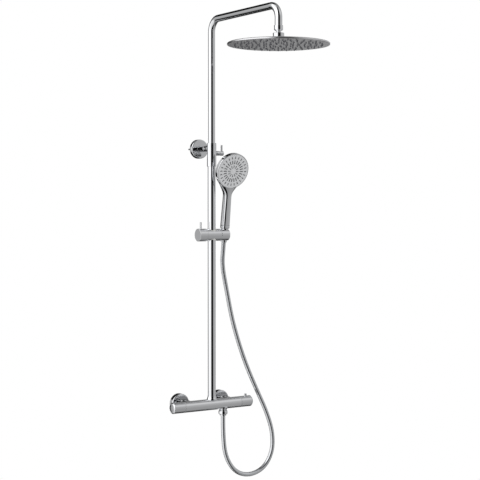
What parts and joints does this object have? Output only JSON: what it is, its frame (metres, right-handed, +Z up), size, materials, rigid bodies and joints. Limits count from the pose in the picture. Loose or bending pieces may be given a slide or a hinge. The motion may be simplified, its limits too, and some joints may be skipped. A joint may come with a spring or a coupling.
{
  "type": "rainfall shower column",
  "caption": "Wall-mounted thermostatic bar valve with riser, overhead rain head on a swivelling arm, sliding hand shower and hose.",
  "frame": {"origin": "on the wall plane, midway between the two water inlets, at the height of the valve's axis", "axes": "+Z up along the riser, +Y into the wall, +X to the right of someone facing the column"},
  "size_m": [0.3868, 0.6385, 1.4765],
  "materials": {
    "chromed_brass": "mirror chrome plate on brass",
    "chromed_tube": "mirror chrome plate on tube",
    "chromed_abs": "chrome plate on moulded ABS",
    "brushed_head": "fine brushed stainless sheet",
    "grey_silicone": "moulded silicone",
    "satin_face": "satin grey ABS",
    "stop_stud": "moulded plastic stud",
    "hose_skin": "smooth silver PVC skin",
    "bare_brass": "machined",
    "black_rubber": "moulded",
    "white_nylon": "moulded nylon",
    "steel_fastener": "zinc plated"
  },
  "bodies": {
    "root": {"bracket_collar_arm": "chromed_brass", "bracket_rosette": "chromed_brass", "bracket_wall_plate": "steel_fastener", "bracket_wall_screws": "steel_fastener", "diverter_cartridge": "bare_brass", "hose_check_valve": "white_nylon", "hose_lower_ferrule": "bare_brass", "hose_outlet_nut": "chromed_brass", "hose_washer": "black_rubber", "left_rosette": "chromed_brass", "left_strainer_washer": "black_rubber", "left_union_nut": "chromed_brass", "left_wall_union": "chromed_brass", "lower_riser_tube": "chromed_tube", "right_rosette": "chromed_brass", "right_strainer_washer": "black_rubber", "right_union_nut": "chromed_brass", "right_wall_union": "chromed_brass", "riser_base_nut": "chromed_brass", "riser_guide_bush": "white_nylon", "riser_seal": "black_rubber", "shower_hose": "hose_skin", "thermostatic_cartridge": "bare_brass", "valve_body": "chromed_brass"},
    "thermostat": {"temperature_knob": "chromed_abs", "temperature_knob_cap": "chromed_abs", "temperature_knob_screw": "steel_fastener", "thermostat_spindle": "bare_brass"},
    "stop_button": {"temperature_stop_button": "stop_stud"},
    "flow_control": {"flow_knob": "chromed_abs", "flow_knob_cap": "chromed_abs", "flow_knob_screw": "steel_fastener", "diverter_spindle": "bare_brass"},
    "bracket_lock": {"bracket_lock_screw": "chromed_brass", "bracket_lock_lever": "chromed_brass"},
    "arm_guide": {"pipe_foot_plug": "white_nylon"},
    "arm": {"overhead_pipe": "chromed_tube", "drop_pipe_nut": "chromed_brass", "ball_stem": "chromed_brass"},
    "ball_ring": {"ball_friction_ring": "white_nylon"},
    "rain_head": {"ball_joint_nut": "chromed_brass", "head_top_shell": "brushed_head", "head_nozzle_plate": "brushed_head", "head_nozzle_mat": "grey_silicone"},
    "slider_brake": {"slider_brake_bush": "white_nylon"},
    "slider": {"slider_body": "chromed_abs", "holder_pivot_bolt": "steel_fastener", "holder_friction_washer": "white_nylon"},
    "slider_clamp": {"slider_clamp_knob": "chromed_abs", "slider_clamp_lever": "chromed_brass", "slider_clamp_screw": "steel_fastener"},
    "holder": {"handset_holder": "chromed_abs"},
    "handset": {"handset_shell": "chromed_abs", "handset_centre_cap": "satin_face", "handset_spray_plate": "white_nylon", "handset_dial_bolt": "steel_fastener", "hose_cone_nut": "chromed_abs", "hose_upper_ferrule": "bare_brass"},
    "spray_dial": {"handset_spray_dial": "satin_face", "handset_nozzle_mat": "grey_silicone"}
  },
  "joints": [
    {"name": "temperature_turn", "type": "hinge", "parent": "root", "child": "thermostat", "pos_m": [0.125, -0.085, 0], "axis": [1, 0, 0], "range_deg": [-200, 70]},
    {"name": "stop_button_press", "type": "slide", "parent": "thermostat", "child": "stop_button", "axis": [0, 0, -1], "range_m": [0, 0.003], "stiffness_N_per_m": 600, "springref_m": -0.002},
    {"name": "flow_turn", "type": "hinge", "parent": "root", "child": "flow_control", "pos_m": [-0.125, -0.085, 0], "axis": [1, 0, 0], "range_deg": [-90, 90]},
    {"name": "bracket_lock_turn", "type": "hinge", "parent": "root", "child": "bracket_lock", "pos_m": [0.02, -0.085, 0.799], "axis": [1, 0, 0], "range_deg": [-90, 90]},
    {"name": "arm_height", "type": "slide", "parent": "root", "child": "arm_guide", "axis": [0, 0, 1], "range_m": [-0.25, 0.25]},
    {"name": "arm_swivel", "type": "hinge", "parent": "arm_guide", "child": "arm", "pos_m": [0, -0.085, 0.9], "axis": [0, 0, 1], "range_deg": [-45, 45]},
    {"name": "head_turn", "type": "hinge", "parent": "arm", "child": "ball_ring", "pos_m": [0, -0.46, 1.129], "axis": [0, 0, 1], "continuous": true},
    {"name": "head_tilt", "type": "hinge", "parent": "ball_ring", "child": "rain_head", "pos_m": [0, -0.46, 1.129], "axis": [1, 0, 0], "range_deg": [-12, 12]},
    {"name": "slider_height", "type": "slide", "parent": "root", "child": "slider_brake", "axis": [0, 0, 1], "range_m": [-0.4, 0.06], "deforming": ["shower_hose"]},
    {"name": "slider_swivel", "type": "hinge", "parent": "slider_brake", "child": "slider", "pos_m": [0, -0.085, 0.5403], "axis": [0, 0, 1], "range_deg": [-30, 30], "deforming": ["shower_hose"]},
    {"name": "slider_clamp_turn", "type": "hinge", "parent": "slider", "child": "slider_clamp", "pos_m": [-0.038, -0.085, 0.5403], "axis": [1, 0, 0], "range_deg": [-90, 90]},
    {"name": "holder_tilt", "type": "hinge", "parent": "slider", "child": "holder", "pos_m": [0.043, -0.085, 0.5403], "axis": [1, 0, 0], "range_deg": [-2, 22], "deforming": ["shower_hose"]},
    {"name": "handset_lift", "type": "slide", "parent": "holder", "child": "handset", "axis": [0, -0.1392, 0.9903], "range_m": [0, 0.06], "deforming": ["shower_hose"]},
    {"name": "spray_select", "type": "hinge", "parent": "handset", "child": "spray_dial", "pos_m": [0.047, -0.139, 0.741], "axis": [0, 0.9511, 0.309], "range_deg": [-60, 60]}
  ]
}
